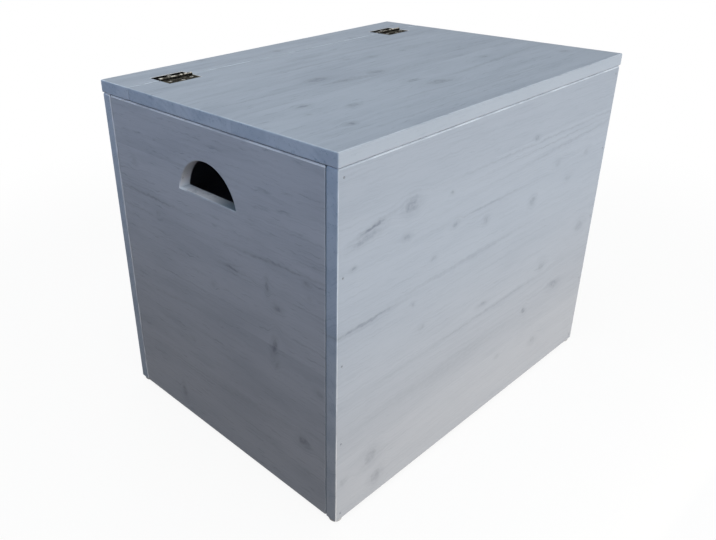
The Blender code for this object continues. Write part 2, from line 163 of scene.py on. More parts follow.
class Wiring:
    """Adds nodes to one tree. A socket is given a plain value, an output or a node's first output."""

    def __init__(self, tree):
        self.tree = tree

    def feed(self, socket, value):
        if isinstance(value, bpy.types.Node):
            value = value.outputs[0]
        if isinstance(value, bpy.types.NodeSocket):
            self.tree.links.new(value, socket)
        else:
            socket.default_value = value

    def add(self, kind, sockets=None, **settings):
        """A new node, a shader's unless its kind says what else it is."""
        node = self.tree.nodes.new(kind if "Node" in kind else f"ShaderNode{kind}")
        for name, value in settings.items():
            setattr(node, name, value)
        for key, value in (sockets or {}).items():
            self.feed(node.inputs[key], value)
        return node

    def math(self, operation, *values):
        return self.add("Math", dict(enumerate(values)), operation=operation).outputs[0]

    times = partialmethod(math, "MULTIPLY")
    times_plus = partialmethod(math, "MULTIPLY_ADD")
    plus = partialmethod(math, "ADD")
    minus = partialmethod(math, "SUBTRACT")
    over = partialmethod(math, "DIVIDE")
    most = partialmethod(math, "MAXIMUM")
    fraction = partialmethod(math, "FRACT")

    def vector(self, operation, *values):
        node = self.add("VectorMath", dict(enumerate(values)), operation=operation)
        return node.outputs["Value" if operation in ("LENGTH", "DOT_PRODUCT") else "Vector"]

    def scaled(self, vector, factor):
        sockets = {0: vector, "Scale": factor}
        return self.add("VectorMath", sockets, operation="SCALE").outputs[0]

    def split(self, vector):
        return self.add("SeparateXYZ", {0: vector}).outputs

    def joined(self, x, y, z):
        return self.add("CombineXYZ", {0: x, 1: y, 2: z}).outputs[0]

    def ramp(self, value, start, end, low=0.0, high=1.0):
        """low before start and high after end, with a soft step between them."""
        sockets = dict(enumerate((value, start, end, low, high)))
        return self.add("MapRange", sockets, interpolation_type="SMOOTHSTEP").outputs[0]

    def noise(self, vector, scale, detail=2.0, roughness=0.6):
        sockets = {"Vector": vector, "Scale": scale, "Detail": detail, "Roughness": roughness}
        return self.add("TexNoise", sockets).outputs["Fac"]

    def blend(self, factor, a, b):
        """Colour a turning to colour b."""
        sockets = {"Factor_Float": factor, "A_Color": colour(a), "B_Color": colour(b)}
        node = self.add("Mix", data_type="RGBA")
        for socket in node.inputs:
            if socket.identifier in sockets:
                self.feed(socket, sockets[socket.identifier])
        return next(socket for socket in node.outputs if socket.identifier == "Result_Color")

    def group(self, tree, **sockets):
        labels = {name.replace("_", " ").capitalize(): value for name, value in sockets.items()}
        return self.add("Group", labels, node_tree=tree).outputs


def colour(value):
    return (*value, 1.0) if isinstance(value, tuple) and len(value) == 3 else value


def new_tree(name, kind, inputs, outputs):
    """A node group, as (wiring, what it is given, what it returns).

    An input is named with its default, or with its kind of socket where it has none, and an
    output with its kind.
    """
    tree = bpy.data.node_groups.new(name, kind)
    kinds = {float: "Float", int: "Int", tuple: "Vector"}
    for label, default in inputs.items():
        socket = f"NodeSocket{kinds.get(type(default), default)}"
        made = tree.interface.new_socket(label, in_out="INPUT", socket_type=socket)
        if type(default) in kinds:
            made.default_value = default
    for label, socket in outputs.items():
        tree.interface.new_socket(label, in_out="OUTPUT", socket_type=f"NodeSocket{socket}")
    given = dict(zip(inputs, tree.nodes.new("NodeGroupInput").outputs))
    returned = tree.nodes.new("NodeGroupOutput").inputs
    return Wiring(tree), given, returned


def effect_tree(name, inputs, outputs):
    """A shader group whose outputs are numbers."""
    return new_tree(name, "ShaderNodeTree", inputs, dict.fromkeys(outputs, "Float"))


# Shared effects of the wood, each one a shader group


def knot_tree():
    """One knot, or a streak: it darkens a place and bends the grain round it.

    A point holds the way along the grain, the way across it and the shade so far. Knots are
    chained, each one in the space that the one before it has bent.
    """
    sizes = {"Length": 0.02, "Width": 0.015, "Turn": 0.0, "Depth": 0.6, "Bend": 0.8}
    inputs = {"Point": "Vector", "Place": "Vector", **sizes}
    w, given, returned = new_tree("knot", "ShaderNodeTree", inputs, {"Point": "Vector"})
    point, place, length, width, angle, depth, bend = given.values()
    offset = w.vector("SUBTRACT", point, place)
    sockets = {"Vector": offset, "Angle": angle}
    turned = w.add("VectorRotate", sockets, rotation_type="Z_AXIS")
    # The third number is the shade, which a great divisor keeps out of the distance.
    size = w.joined(length, width, 1000.0)
    distance = w.vector("LENGTH", w.vector("DIVIDE", turned, size))
    core = w.ramp(distance, 0.78, 0.20)
    halo = w.ramp(distance, 1.45, 0.30, 0.0, 0.34)
    rings = w.times_plus(w.math("SINE", w.times(distance, 30.0)), 0.07, 0.93)
    dark = w.times(w.most(w.times(core, rings), halo), depth)
    reach = w.times(w.ramp(distance, 1.9, 0.35), bend)
    bent = w.vector("SUBTRACT", point, w.vector("MULTIPLY", offset, w.joined(0.0, reach, 0.0)))
    # Low numbers leave the bent place alone, so that only the shade keeps the darker value.
    w.feed(returned["Point"], w.vector("MAXIMUM", bent, w.joined(-10.0, -10.0, dark)))
    return w.tree


def rings_tree():
    """Growth rings of one stave, cut from a log whose heart lies under the board's face."""
    w, given, returned = effect_tree(
        "growth rings",
        {"Vector": "Vector", "Stave": 0.0, "Ring width": 0.0026},
        ("Late wood", "Fibre", "Cloud", "Dash"),
    )
    place, stave, ring_width = given.values()
    along, grain, depth = w.split(place)
    # Each stave starts elsewhere in the noise.
    across = w.times_plus(stave, 7.0, grain)
    slow = w.joined(w.times(along, 0.22), across, depth)
    short = w.joined(w.times(along, 0.09), across, depth)
    fine = w.joined(w.times(along, 0.02), across, depth)
    sway = w.minus(w.noise(slow, 9.0, 2.0, 0.45), 0.5)
    heart_across = w.minus(w.fraction(w.times(stave, 5.7)), 0.25)
    heart_depth = w.times_plus(w.fraction(w.times(stave, 3.3)), 0.05, 0.035)
    taper = w.times(along, w.times_plus(stave, 0.05, -0.025))
    side = w.minus(grain, heart_across)
    under = w.plus(w.plus(depth, heart_depth), taper)
    radius = w.vector("LENGTH", w.joined(side, under, 0.0))
    phase = w.over(w.times_plus(sway, 0.016, radius), ring_width)
    within = w.fraction(phase)
    late = w.times(w.ramp(within, 0.30, 0.86), w.ramp(within, 1.0, 0.90))
    year = w.add("TexWhiteNoise", {"W": w.math("FLOOR", phase)}, noise_dimensions="1D")
    strength = w.times_plus(w.math("POWER", year.outputs["Value"], 2.0), 0.85, 0.15)
    # The wash hides the rings in places.
    bare = w.ramp(w.noise(short, 95.0, 2.0, 0.5), 0.36, 0.66, 0.12, 1.0)
    w.feed(returned["Late wood"], w.times(w.times(late, strength), bare))
    w.feed(returned["Fibre"], w.noise(fine, 620.0, 3.0, 0.6))
    w.feed(returned["Cloud"], w.noise(slow, 26.0, 3.0, 0.55))
    w.feed(returned["Dash"], w.ramp(w.noise(short, 330.0), 0.58, 0.76))
    return w.tree


def edges_tree():
    """Arrises, end grain and the board's narrow edges, from the way its surface faces."""
    w, given, returned = effect_tree(
        "board edges",
        {"Normal": "Vector", "Along": (1.0, 0.0, 0.0), "Face": (0.0, 0.0, 1.0), "Limit": 0.45},
        ("Arris", "Hollow", "End", "Narrow"),
    )
    normal, along, face, limit = given.values()
    facing = w.vector("ABSOLUTE", normal)
    x, y, z = w.split(facing)
    broad = w.vector("DOT_PRODUCT", facing, face)
    # An arris is worn bare, and given a painted highlight, on the side of the broad face, as far round
    # it as the limit.
    toward = w.ramp(broad, limit, w.plus(limit, 0.3))
    rim = w.ramp(w.most(w.most(x, y), z), 0.993, 0.955)
    w.feed(returned["Arris"], w.times(rim, toward))
    # The far half of an arris takes painted shade where it turns into a joint.
    w.feed(returned["Hollow"], w.times(rim, w.minus(1.0, toward)))
    w.feed(returned["End"], w.ramp(w.vector("DOT_PRODUCT", facing, along), 0.55, 0.90))
    w.feed(returned["Narrow"], w.ramp(broad, 0.60, 0.20))
    return w.tree


def wash_tree():
    """The translucent wash over all of it: colour, roughness and the raised grain, with painted shade,
    painted arris highlights and a painted light tint.
    """
    grain = {"Late wood": 0.0, "Fibre": 0.5, "Cloud": 0.5, "Dash": 0.0, "Figure": 1.0}
    places = {"Shade": 0.0, "Tone": 0.5, "Arris": 0.0, "End": 0.0, "Narrow": 0.0}
    # Thick wash, painted shade with dirt smudges, and the painted warm-to-cool light tint
    wear = {"Thick": 0.0, "Shaded": 0.0, "Cool": 0.5}
    outputs = {"Colour": "Color", "Roughness": "Float", "Height": "Float"}
    w, given, returned = new_tree("wash", "ShaderNodeTree", {**grain, **places, **wear}, outputs)
    late_wood, fibre, cloud, dash, figure, shade, tone, arris, end, narrow, *rest = given.values()
    thick, shaded, cool = rest
    late = w.times(late_wood, figure)
    # How thin the wash is: each effect adds its share.
    thin = w.times_plus(late, 0.26, w.times(tone, 0.12))
    thin = w.times_plus(w.ramp(fibre, 0.42, 0.72), 0.14, thin)
    thin = w.times_plus(w.times(w.ramp(cloud, 0.40, 0.72), figure), 0.17, thin)
    thin = w.times_plus(w.times(dash, figure), 0.34, thin)
    lines = w.times_plus(late_wood, 0.45, w.times(dash, 0.55))
    lines = w.times_plus(w.ramp(cloud, 0.40, 0.65), 0.30, lines)
    # The layers, from the first to the last.
    tint = w.blend(thin, WASH, THIN_WASH)
    tint = w.blend(w.times(narrow, 0.6), tint, EDGE_WASH)
    tint = w.blend(w.times(end, 0.85), tint, w.blend(lines, END_GRAIN, END_LINES))
    tint = w.blend(w.times(thick, 0.85), tint, THICK_WASH)
    # Painted shade, with smudges of dirt in the hand hole
    tint = w.blend(shaded, tint, PAINTED_SHADE_AND_DIRT)
    tint = w.blend(shade, tint, KNOT)
    # Worn arrises, lightened partly as wear and partly as a painted highlight
    tint = w.blend(arris, tint, ARRIS_WEAR_AND_HIGHLIGHT)
    # A painted light tint, from warm bounce to cool skylight
    w.feed(returned["Colour"], w.vector("MULTIPLY", tint, w.blend(cool, PAINTED_WARM_BOUNCE, PAINTED_COOL_SKYLIGHT)))
    rough = w.times_plus(fibre, 0.10, w.times_plus(late, -0.08, 0.62))
    w.feed(returned["Roughness"], w.times_plus(shade, -0.10, rough))
    height = w.times_plus(dash, -0.5, w.times_plus(late, 0.5, w.times(fibre, 0.5)))
    w.feed(returned["Height"], w.times_plus(shade, 0.6, height))
    return w.tree


KNOT_TREE, RINGS_TREE, EDGES_TREE, WASH_TREE = knot_tree(), rings_tree(), edges_tree(), wash_tree()


# What shows on each board. A knot is (along, across, length, width, depth in per cent) with its
# turn in degrees, if any, and a streak the same with a length of many times its width. Staves
# meet at the glued joints.

FRONT_MARKS = {
    "knots": (
        (-189, 421, 23, 17, 40), (-195, 382, 13, 8, 32), (-290, 375, 7, 5, 40), (-109, 413, 8, 5, 32),
        (-94, 366, 11, 7, 29, 8), (-137, 332, 11, 7, 25), (-23, 349, 11, 9, 36),
        (100, 339, 14, 14, 38, -12), (88, 438, 13, 7, 36), (162, 382, 20, 10, 20),
        (249, 378, 18, 9, 19), (200, 349, 18, 8, 24), (268, 244, 26, 20, 22), (-9, 209, 20, 7, 36),
        (157, 210, 19, 14, 26), (119, 144, 13, 10, 42, -14), (211, 156, 30, 14, 34, -8),
        (-154, 235, 16, 10, 22), (-175, 279, 7, 6, 26), (-249, 74, 24, 22, 34), (-237, 32, 20, 24, 36),
        (-304, 63, 12, 12, 24), (164, 66, 16, 12, 26, -20), (53, 87, 12, 8, 16),
    ),
    "streaks": (
        (-258, 416, 42, 5.0, 62, 11), (-268, 406, 46, 9.0, 34, 10), (-268, 293, 110, 5.0, 40, 2),
        (-60, 303, 330, 7.0, 16, 1), (110, 430, 430, 3.0, 20), (190, 409, 290, 4.5, 20, 3),
        (150, 420, 230, 2.2, 24, 1), (-15, 371, 190, 3.0, 22), (20, 193, 380, 4.0, 18, 1),
        (-100, 140, 330, 24.0, 10),
    ),
    "staves": (98, 196, 293, 432),
}
BACK_MARKS = {
    "knots": (
        (-240, 455, 16, 12, 42), (-60, 420, 22, 16, 50, 6), (-52, 404, 9, 6, 34), (150, 447, 12, 9, 36),
        (255, 396, 20, 14, 30), (20, 330, 14, 10, 44), (-170, 318, 26, 17, 40, -8),
        (205, 286, 11, 8, 46), (-285, 240, 12, 9, 32), (85, 214, 24, 19, 52), (-110, 190, 10, 7, 30),
        (280, 160, 17, 11, 34, 10), (-20, 118, 20, 13, 36), (-230, 84, 15, 11, 46),
        (170, 60, 13, 10, 34),
    ),
    "streaks": (
        (60, 372, 300, 3.5, 20, 1), (-150, 262, 240, 3.0, 18, -1), (180, 108, 220, 4.0, 18),
        (-40, 40, 300, 12.0, 10),
    ),
    "staves": (112, 205, 310, 401),
}
LEFT_MARKS = {
    "knots": (
        (113, 315, 6, 16, 50), (133, 291, 13, 10, 50), (123, 229, 9, 26, 66, -8), (127, 209, 7, 14, 40),
        (185, 347, 10, 7, 34), (189, 328, 10, 10, 20), (173, 104, 16, 13, 62), (-101, 38, 8, 22, 46, 6),
        (-170, 411, 12, 10, 28), (-121, 343, 13, 9, 24), (0, 275, 11, 8, 24), (-60, 156, 16, 10, 16),
        (205, 198, 14, 8, 30),
    ),
    "streaks": (
        (-150, 366, 135, 3.4, 42, -1), (140, 353, 150, 3.4, 36, 3), (42, 315, 34, 3.6, 56, 3),
        (46, 321, 26, 2.2, 26, 12), (44, 309, 30, 2.2, 22, -10), (-166, 337, 100, 3.0, 24),
        (60, 108, 220, 16.0, 16, 3), (-110, 210, 150, 5.0, 18, 6),
    ),
    "staves": (118, 228, 345, 430),
}
RIGHT_MARKS = {
    "knots": (
        (-150, 446, 14, 10, 40), (150, 420, 18, 13, 46), (-110, 352, 24, 16, 50, 8),
        (40, 318, 12, 9, 36), (188, 272, 16, 11, 40), (-175, 232, 11, 8, 42), (-20, 186, 22, 15, 48),
        (120, 120, 13, 10, 34), (-120, 74, 17, 12, 44, -6), (60, 36, 10, 7, 30),
    ),
    "streaks": (
        (20, 372, 260, 3.0, 24, 1), (-60, 262, 220, 3.0, 20, -1), (80, 150, 200, 8.0, 12),
    ),
    "staves": (90, 205, 300, 398),
}
LID_MARKS = {
    "knots": (
        (-113, -1, 34, 18, 54), (-94, -31, 40, 17, 44, -10), (-24, -31, 34, 17, 46, -10),
        (-12, -132, 38, 18, 50, -6), (-29, -105, 24, 15, 42), (-175, -126, 16, 9, 46),
        (-222, -85, 17, 9, 50), (-235, -176, 12, 9, 54), (-242, -114, 7, 5, 34), (164, -88, 12, 8, 40),
        (275, -160, 15, 10, 38), (82, -188, 16, 8, 22), (12, 58, 16, 9, 24), (50, 42, 12, 8, 24),
        (144, 40, 34, 16, 14),
    ),
    "streaks": (
        (-60, -33, 110, 6.0, 28, -4), (0, -46, 270, 14.0, 16, 1), (140, -115, 200, 5.0, 26, 4),
        (-47, 67, 90, 4.0, 18), (-40, -150, 150, 3.5, 20, 2), (60, -188, 380, 3.0, 18),
        (-60, -205, 420, 3.0, 14), (150, 147, 70, 3.0, 26, 3),
    ),
    "staves": (-168, -64, 62),
}
RAIL_MARKS = {
    "knots": (
        (-18, 186, 17, 10, 36), (107, 199, 15, 10, 20), (144, 172, 14, 9, 22), (-143, 224, 16, 9, 44),
        (286, 196, 10, 7, 30),
    ),
    "streaks": (
        (-100, 182, 260, 4.0, 16, 1), (120, 212, 240, 4.0, 16, -1),
    ),
    "staves": (),
}
FLOOR_MARKS = {
    "knots": (
        (-210, -120, 20, 14, 46), (-60, 90, 14, 10, 40), (70, -60, 24, 17, 48, 6),
        (190, 140, 15, 11, 38), (230, -170, 12, 9, 36), (-150, 20, 10, 8, 34),
    ),
    "streaks": (
        (0, 30, 360, 4.0, 20, 1), (-80, -150, 260, 4.0, 18),
    ),
    "staves": (-130, -36, 70, 150),
}
PLAIN_MARKS = {"knots": (), "streaks": (), "staves": ()}


def new_material(name):
    """A material and the wiring of its nodes."""
    made = bpy.data.materials.new(name)
    made.use_nodes = True
    return made, Wiring(made.node_tree)


def finish_surface(made, w, surface, height, relief):
    """Feed a material's surface and give it the fine relief of a height."""
    sockets = made.node_tree.nodes["Principled BSDF"].inputs
    strength, depth = relief
    for name, value in surface.items():
        w.feed(sockets[name], value)
    bump = w.add("Bump", {"Height": height, "Strength": strength, "Distance": depth})
    w.feed(sockets["Normal"], bump)
    return made


def stave_value(w, across, joints, seed):
    """A number from 0 to 1 that changes at each glued joint."""
    node = w.add("ValToRGB")
    ramp = node.color_ramp
    ramp.interpolation = "CONSTANT"
    for _ in range(len(joints) - 1):
        ramp.elements.new(0.5)
    starts = [0.0] + [(joint * MM + STAVE_REACH) / (2 * STAVE_REACH) for joint in joints]
    if len(starts) == 1:
        starts.append(1.0)
    for number, (element, start) in enumerate(zip(ramp.elements, starts)):
        element.position = start
        level = (seed + number * STAVE_STEP) % 1.0
        element.color = (level, level, level, 1.0)
    w.feed(node.inputs[0], w.over(w.plus(across, STAVE_REACH), 2 * STAVE_REACH))
    return node.outputs["Color"]


def hand_hole_wash_and_light(w, board, hole, edges, bare):
    """Wash and painted light in and round a hand hole, as (thick wash, painted shade with dirt
    smudges, worn arrises with a painted highlight in the sill's rear corner).
    """
    offset = w.vector("MULTIPLY", w.vector("SUBTRACT", board, hole), (1, 1, 0))
    near = w.ramp(w.vector("LENGTH", offset), HAND_RADIUS + 0.003, HAND_RADIUS + 0.001)
    clear = w.minus(1.0, near)
    thick = w.times(edges["Narrow"], near)
    forward, upward, _ = w.split(offset)
    # Painted shade: darker towards the sill's front end and the top of the arch, with smudges of dirt.
    inner = w.ramp(forward, -0.01, 0.045, 0.0, 0.9)
    painted_shade = w.most(inner, w.ramp(upward, 0.016, 0.042, 0.0, 0.5))
    smudges = w.ramp(w.noise(board, 130.0), 0.50, 0.72, 0.0, 0.45)
    shaded = w.times(thick, w.most(painted_shade, smudges))
    # Painted shade darkens the joints' grooves, and a painted highlight lights the sill's rear corner.
    groove_shade = w.times(w.most(edges["Hollow"], w.times(edges["End"], edges["End"])), 0.75)
    shaded = w.most(shaded, w.times(groove_shade, clear))
    # A painted highlight on the walls near the sill's rear corner
    corner = w.vector("LENGTH", w.vector("SUBTRACT", offset, SILL_CORNER))
    walls = w.most(edges["Narrow"], w.most(edges["Arris"], edges["Hollow"]))
    corner_highlight = w.times(w.ramp(corner, 0.020, 0.004), w.times(walls, near))
    return thick, shaded, w.most(w.times(clear, bare), corner_highlight)


def wash_material(
    name, along, across, marks, seed,
    origin=(0, 0, 0), figure=1.0, ring_width=0.004, wear_and_highlight=0.15, limit=0.45, hole=None, painted_light_height=None,
):
    """Spruce under the wash. along and across are the board's grain directions in the room.

    figure is how strongly the rings show, the arris wear how bare the arrises are worn and how
    bright a painted highlight they get, and limit how far round them from the broad face, as a
    cosine. hole is the middle of a hand hole, whose cut edge took more wash and whose walls get
    painted shade and a painted highlight, and the last argument is the height over which a painted
    light tint goes from warm floor bounce at the foot to cool skylight higher up.
    """
    made, w = new_material(name)
    along, across = Vector(along), Vector(across)
    face = along.cross(across)
    turn = Matrix((along, across, face))
    places = w.add("TexCoord").outputs
    sockets = {
        "Vector": places["Object"],
        "Location": -(turn @ Vector(origin)),
        "Rotation": turn.to_euler("XYZ"),
    }
    board = w.add("Mapping", sockets).outputs[0]
    _, across_way, depth_way = w.split(board)
    ragged = w.add("TexNoise", {"Vector": board, "Scale": RAGGED_SCALE, "Detail": 3.0})
    aside = w.scaled(w.vector("SUBTRACT", ragged.outputs["Color"], (0.5, 0.5, 0.5)), RAGGED_REACH)
    point = w.vector("MULTIPLY", w.vector("ADD", board, aside), (1.0, 1.0, 0.0))
    for kind, bend in BENDS.items():
        for place_along, place_across, length, width, depth, *turns in marks[kind]:
            point = w.group(
                KNOT_TREE,
                point=point,
                place=(place_along * MM, place_across * MM, 0.0),
                length=length * MM,
                width=width * MM,
                turn=-math.radians(sum(turns)),
                depth=depth / 100,
                bend=bend,
            )["Point"]
    bent_along, bent_across, shade = w.split(point)
    # Knots are mottled, and the wash lies over them unevenly.
    mottled = w.ramp(w.noise(board, 170.0), 0.28, 0.72, 0.55, 1.15)
    stave = stave_value(w, across_way, marks["staves"], seed)
    grain = w.joined(bent_along, bent_across, depth_way)
    rings = w.group(RINGS_TREE, vector=grain, stave=stave, ring_width=ring_width)
    along, face = (tuple(abs(part) for part in way) for way in (along, face))
    edges = w.group(EDGES_TREE, normal=places["Normal"], along=along, face=face, limit=limit)
    # Worn bare patches on the arrises, lightened also as a painted highlight
    patches = w.ramp(w.noise(board, 24.0), 0.35, 0.60, 0.45 * wear_and_highlight, 1.1 * wear_and_highlight)
    thick, shaded, bare = 0.0, 0.0, w.times(edges["Arris"], patches)
    if hole is not None:
        thick, shaded, bare = hand_hole_wash_and_light(w, board, hole, edges, bare)
    wash = w.group(
        WASH_TREE,
        **{label: rings[label] for label in ("Late wood", "Fibre", "Cloud", "Dash")},
        figure=figure,
        shade=w.times(shade, mottled),
        tone=stave,
        arris=bare,
        end=edges["End"],
        narrow=edges["Narrow"],
        thick=thick,
        shaded=shaded,
        # A painted light tint: a warm-to-cool ramp up the board where a height is given, else a fixed
        # mix
        cool=0.65 if painted_light_height is None else w.ramp(across_way, 0.0, painted_light_height),
    )
    surface = {"Base Color": wash["Colour"], "Roughness": wash["Roughness"], "Specular IOR Level": 0.25}
    return finish_surface(made, w, surface, wash["Height"], WOOD_RELIEF)


# Finishes of the small parts


def metal_wear_tree():
    """Blotches and fine scratches that metal parts pick up."""
    inputs = {"Vector": "Vector", "Blotch size": 0.004}
    w, given, returned = effect_tree("metal wear", inputs, ("Blotch", "Scratch"))
    scale = w.over(1.0, given["Blotch size"])
    w.feed(returned["Blotch"], w.ramp(w.noise(given["Vector"], scale, 3.0, 0.6), 0.38, 0.64))
    x, y, z = w.split(given["Vector"])
    drawn = w.joined(w.times(x, 0.08), y, z)
    w.feed(returned["Scratch"], w.ramp(w.noise(drawn, 2600.0), 0.52, 0.72))
    return w.tree


METAL_WEAR_TREE = metal_wear_tree()


def metal_material(name, dark, bright, roughness, blotch_size):
    """Bare metal between two colours."""
    made, w = new_material(name)
    place = w.add("TexCoord").outputs["Object"]
    wear = w.group(METAL_WEAR_TREE, vector=place, blotch_size=blotch_size)
    surface = {
        "Base Color": w.blend(w.times_plus(wear["Scratch"], 0.15, wear["Blotch"]), dark, bright),
        "Roughness": w.times_plus(wear["Blotch"], 0.12, roughness),
        "Metallic": 1.0,
    }
    return finish_surface(made, w, surface, wear["Scratch"], METAL_RELIEF)


def burnished_material(name, black, brown, steel, leaf_top, knuckle_top, pin_line):
    """Burnished hinge steel: bare on top of the knuckles, partly wear and partly a painted highlight,
    and brown on the lid's leaves.
    """
    made, w = new_material(name)
    place = w.add("TexCoord").outputs["Object"]
    wear = w.group(METAL_WEAR_TREE, vector=place, blotch_size=0.005)
    blotch, scratch = wear["Blotch"], wear["Scratch"]
    _, backward, height = w.split(place)
    handled = w.ramp(backward, pin_line - 0.0015, pin_line - 0.0035)
    spots = w.ramp(blotch, 0.30, 0.62, 0.15, 1.0)
    # Up the knuckles the colour goes from black through brown to bare steel on top: partly wear, partly
    # a painted highlight.
    lifted = w.most(w.ramp(height, leaf_top + 0.0004, knuckle_top), w.times(handled, spots))
    crown_wear_and_highlight = w.ramp(height, leaf_top + 0.0020, knuckle_top - 0.0002)
    bare = w.times_plus(scratch, 0.05, w.times(crown_wear_and_highlight, w.ramp(blotch, 0.2, 0.6)))
    browned = w.blend(w.most(lifted, w.times(scratch, 0.2)), black, brown)
    surface = {
        "Base Color": w.blend(bare, browned, steel),
        "Metallic": w.ramp(bare, 0.05, 0.5),
        "Roughness": w.times_plus(blotch, 0.10, 0.30),
        "Specular IOR Level": 0.0,
    }
    return finish_surface(made, w, surface, scratch, METAL_RELIEF)


def speckled_material(name, dark, bright, roughness, grain):
    """A dull surface with soft speckles: moulded plastic, bare beech or a painted nail head."""
    made, w = new_material(name)
    place = w.add("TexCoord").outputs["Object"]
    speckle = w.noise(place, 1.0 / grain, 3.0, 0.6)
    surface = {
        "Base Color": w.blend(w.ramp(speckle, 0.3, 0.7), dark, bright),
        "Roughness": w.times_plus(speckle, 0.15, roughness),
        "Specular IOR Level": 0.35,
    }
    return finish_surface(made, w, surface, speckle, DULL_RELIEF)


# Mesh work


def new_piece(name, mesh):
    made = bpy.data.objects.new(name, mesh)
    bpy.context.scene.collection.objects.link(made)
    return made


def settle(piece):
    """Turn what the modifiers make into the piece's own plain mesh."""
    bpy.context.view_layer.update()
    depsgraph = bpy.context.evaluated_depsgraph_get()
    mesh = bpy.data.meshes.new_from_object(piece.evaluated_get(depsgraph))
    piece.modifiers.clear()
    piece.data = mesh
    mesh.name = piece.name
    return piece


def add_modifier(piece, name, kind, **settings):
    modifier = piece.modifiers.new(name, kind)
    for setting, value in settings.items():
        setattr(modifier, setting, value)
    return modifier


def add_turned(bm, profile, sides, place):
    """Turn (radius, height) points round Z, from a first to a last point on the axis."""
    turns = [math.tau * step / sides for step in range(sides)]
    rings = []
    for radius, height in profile:
        points = [(radius * math.cos(a), radius * math.sin(a), height) for a in turns]
        if radius == 0:
            points = [(0, 0, height)]
        rings.append([bm.verts.new(place @ Vector(point)) for point in points])
    for lower, upper in zip(rings, rings[1:]):
        for step in range(sides):
            after = (step + 1) % sides
            corners = [lower[step % len(lower)], lower[after % len(lower)]]
            corners += [upper[after % len(upper)], upper[step % len(upper)]]
            bm.faces.new(list(dict.fromkeys(corners)))


def add_stacked(bm, loops):
    """A solid through loops of as many points each, closed at both ends."""
    rings = [[bm.verts.new(point) for point in loop] for loop in loops]
    for lower, upper in zip(rings, rings[1:]):
        for step in range(len(lower)):
            after = (step + 1) % len(lower)
            bm.faces.new((lower[step], lower[after], upper[after], upper[step]))
    bm.faces.new(rings[0])
    bm.faces.new(rings[-1])


def rectangle(low_x, high_x, low_y, high_y, z):
    return [(low_x, low_y, z), (high_x, low_y, z), (high_x, high_y, z), (low_x, high_y, z)]


def mesh_from(bm, name):
    mesh = bpy.data.meshes.new(name)
    turn_outward(bm, mesh)
    return mesh


def turn_outward(bm, mesh):
    """Write the faces into the mesh with their fronts outward."""
    bmesh.ops.recalc_face_normals(bm, faces=bm.faces)
    bm.to_mesh(mesh)
    bm.free()


def cut_all(piece, cutters):
    """Take each cutter mesh out of the piece."""
    tools = []
    for bm in cutters:
        tool = new_piece("cutter", mesh_from(bm, "cutter"))
        add_modifier(piece, "cut", "BOOLEAN", operation="DIFFERENCE", solver="EXACT", object=tool)
        tools.append(tool)
    settle(piece)
    for tool in tools:
        bpy.data.objects.remove(tool, do_unlink=True)


def even_shading(piece, degrees=50):
    """Smooth over the arrises, flat on the broad faces, sharp at cut edges."""
    piece.data.shade_smooth()
    piece.data.set_sharp_from_angle(angle=math.radians(degrees))
    settings = {"mode": "FACE_AREA", "weight": 100, "keep_sharp": True}
    add_modifier(piece, "even shading", "WEIGHTED_NORMAL", **settings)
    settle(piece)


# Geometry trees


def grow(name, tree, base, **values):
    """Run a geometry tree on a base mesh and keep the plain mesh that it makes."""
    piece = new_piece(name, base)
    modifier = add_modifier(piece, name, "NODES", node_group=tree)
    labels = {label.replace("_", " "): value for label, value in values.items()}
    for item in tree.interface.items_tree:
        if item.in_out == "INPUT" and item.name.lower() in labels:
            modifier[item.identifier] = labels[item.name.lower()]
    return settle(piece)


def return_finished(w, given, socket, geometry):
    """End a geometry tree with its parts in their finish."""
    sockets = {"Geometry": geometry, "Material": given["Finish"]}
    w.feed(socket, w.add("GeometryNodeSetMaterial", sockets))
    return w.tree


def rounded_board_tree():
    """A board between two corners whose twelve edges are rounded to the arris radius."""
    sizes = {"Arris": ARRIS, "Top arris": ARRIS, "Steps": ARRIS_STEPS}
    inputs = {"Low": "Vector", "High": "Vector", **sizes, "Finish": "Material"}
    w, given, returned = new_tree("rounded board", "GeometryNodeTree", inputs, {"Board": "Geometry"})
    doubled = w.times(given["Steps"], 2.0)
    lines = w.plus(doubled, 2.0)
    sockets = {"Size": (2, 2, 2), "Vertices X": lines, "Vertices Y": lines, "Vertices Z": lines}
    cube = w.add("GeometryNodeMeshCube", sockets)
    spot = w.add("GeometryNodeInputPosition")
    # The middle cell of each side becomes the flat face, and the outer ones the arris.
    flat = w.over(1.0, w.plus(doubled, 1.0))
    side = w.vector("SIGN", spot)
    share = w.over(math.pi / 4, w.minus(1.0, flat))
    beyond = w.vector("SUBTRACT", w.vector("ABSOLUTE", spot), w.joined(flat, flat, flat))
    reach = w.vector("TANGENT", w.scaled(w.vector("MAXIMUM", beyond, (0, 0, 0)), share))
    # Rounding errors must not turn a flat face.
    steady = w.vector("SNAP", reach, (1e-5, 1e-5, 1e-5))
    outward = w.vector("NORMALIZE", w.vector("MULTIPLY", steady, side))
    half = w.scaled(w.vector("SUBTRACT", given["High"], given["Low"]), 0.5)
    middle = w.scaled(w.vector("ADD", given["High"], given["Low"]), 0.5)
    _, _, upper = w.split(w.vector("MAXIMUM", side, (0, 0, 0)))
    arris = given["Arris"]
    radius = w.joined(arris, arris, w.times_plus(upper, w.minus(given["Top arris"], arris), arris))
    corner = w.vector("MULTIPLY", w.vector("SUBTRACT", half, radius), side)
    centred = w.vector("ADD", corner, w.vector("MULTIPLY", outward, radius))
    sockets = {"Geometry": cube, "Position": w.vector("ADD", centred, middle)}
    return return_finished(w, given, returned["Board"], w.add("GeometryNodeSetPosition", sockets))


